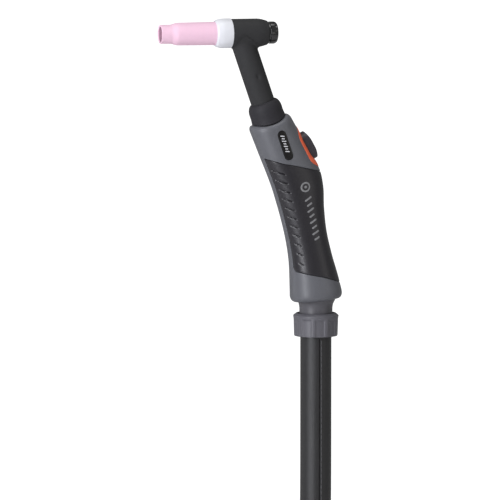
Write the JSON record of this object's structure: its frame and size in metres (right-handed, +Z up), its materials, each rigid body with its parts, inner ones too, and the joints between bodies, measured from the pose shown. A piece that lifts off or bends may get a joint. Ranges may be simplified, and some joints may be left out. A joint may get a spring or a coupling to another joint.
{
  "type": "tig welding torch",
  "caption": "Hand held TIG welding torch with an angled head, ceramic gas cup, trigger switch, ball knuckle and a long covered lead, coiled and strapped, with its plugs.",
  "frame": {"origin": "middle of the hand grip, on the handle's centre line", "axes": "+Z up the handle towards the head, -X the way the nozzle points, Y = 0 the plane of symmetry of the handle and head"},
  "size_m": [0.3163, 0.3166, 0.5887],
  "materials": {
    "handle_plastic": "satin moulded grey plastic, fine texture",
    "grip_rubber": "soft matt black rubber with slanted grooves",
    "badge_plastic": "glossy black plate",
    "screw_steel": "zinc plated steel",
    "bezel_plastic": "orange satin plastic",
    "switch_body": "black moulded switch case",
    "head_rubber": "moulded dark grey silicone rubber",
    "core_copper": "machined brass",
    "tube_copper": "drawn copper tube",
    "boot_rubber": "moulded dark grey rubber",
    "collet_copper": "machined copper alloy",
    "ferrule_brass": "crimped brass",
    "cable_black": "black rubber cable",
    "oring_rubber": "black nitrile",
    "cap_plastic": "polished black plastic",
    "gasket_plastic": "white fluoropolymer, satin",
    "cup_ceramic": "pale pink fired alumina, matt",
    "tungsten": "ground tungsten",
    "button_plastic": "dark grey matt plastic with raised bars",
    "knuckle_plastic": "grey moulded plastic",
    "cover_leather": "black covering with a fine grain and a lengthwise seam",
    "ring_plastic": "off-white nylon",
    "nut_plastic": "grey moulded plastic with raised ribs",
    "tie_fabric": "black woven strap",
    "end_boot_rubber": "black moulded rubber",
    "power_rubber": "smooth black rubber hose",
    "plug_rubber": "black moulded rubber with grip ridges",
    "pin_brass": "machined brass",
    "control_pvc": "smooth black jacket",
    "control_plug_plastic": "black moulded plastic",
    "contact_brass": "plated contacts"
  },
  "bodies": {
    "handle": {"handle_left": "handle_plastic", "handle_right": "handle_plastic", "grip_left": "grip_rubber", "grip_right": "grip_rubber", "badges": "badge_plastic", "handle_screws": "screw_steel", "switch_bezel": "bezel_plastic", "microswitch": "switch_body", "head_shell": "head_rubber", "head_core": "core_copper", "neck_tube": "tube_copper", "neck_boot": "boot_rubber", "collet_body": "collet_copper", "collet": "collet_copper", "crimp_ferrule": "ferrule_brass", "inner_cable": "cable_black", "lead_drop": "cover_leather", "lead_coil": "cover_leather", "lead_tail": "cover_leather", "coil_ties": "tie_fabric", "lead_boot": "end_boot_rubber", "power_tail": "power_rubber", "plug_grip": "plug_rubber", "plug_pin": "pin_brass", "control_tail": "control_pvc", "control_plug": "control_plug_plastic", "control_pins": "contact_brass"},
    "cap_seal": {"cap_oring": "oring_rubber"},
    "back_cap": {"back_cap": "cap_plastic"},
    "cup_seal": {"cup_gasket": "gasket_plastic"},
    "gas_cup": {"gas_cup": "cup_ceramic"},
    "electrode": {"electrode": "tungsten"},
    "switch_button": {"switch_button": "button_plastic"},
    "knuckle": {"knuckle_ball": "knuckle_plastic", "cover_end": "cover_leather"},
    "gland": {"clamp_ring": "ring_plastic"},
    "gland_nut": {"gland_nut": "nut_plastic"}
  },
  "joints": [
    {"name": "cap_advance", "type": "slide", "parent": "handle", "child": "cap_seal", "axis": [1, 0, 0], "range_m": [0, 0.00501]},
    {"name": "cap_turn", "type": "hinge", "parent": "cap_seal", "child": "back_cap", "pos_m": [-0.04626, 0, 0.13244], "axis": [1, 0, 0], "range_deg": [0, 1440]},
    {"name": "cup_advance", "type": "slide", "parent": "handle", "child": "cup_seal", "axis": [-1, 0, 0], "range_m": [0, 0.00801]},
    {"name": "cup_turn", "type": "hinge", "parent": "cup_seal", "child": "gas_cup", "pos_m": [-0.04626, 0, 0.13244], "axis": [-1, 0, 0], "range_deg": [0, 1800]},
    {"name": "electrode_slide", "type": "slide", "parent": "handle", "child": "electrode", "axis": [-1, 0, 0], "range_m": [0, 0.018]},
    {"name": "button_press", "type": "slide", "parent": "handle", "child": "switch_button", "axis": [-0.8746, 0, -0.4848], "range_m": [0, 0.0016], "stiffness_N_per_m": 1500},
    {"name": "knuckle_tilt", "type": "hinge", "parent": "handle", "child": "knuckle", "pos_m": [0.0132, 0, -0.0637], "axis": [0, 1, 0], "range_deg": [-19.5, 9], "deforming": ["lead_drop"]},
    {"name": "gland_advance", "type": "slide", "parent": "knuckle", "child": "gland", "axis": [0, 0, -1], "range_m": [0, 0.00601]},
    {"name": "gland_turn", "type": "hinge", "parent": "gland", "child": "gland_nut", "pos_m": [0.0132, 0, -0.0637], "axis": [0, 0, -1], "range_deg": [0, 1080]}
  ],
  "couplings": [
    {"joint": "cap_advance", "follows": "cap_turn", "m_per_rad": 0.00019894},
    {"joint": "cup_advance", "follows": "cup_turn", "m_per_rad": 0.00025465},
    {"joint": "gland_advance", "follows": "gland_turn", "m_per_rad": 0.00031831}
  ]
}
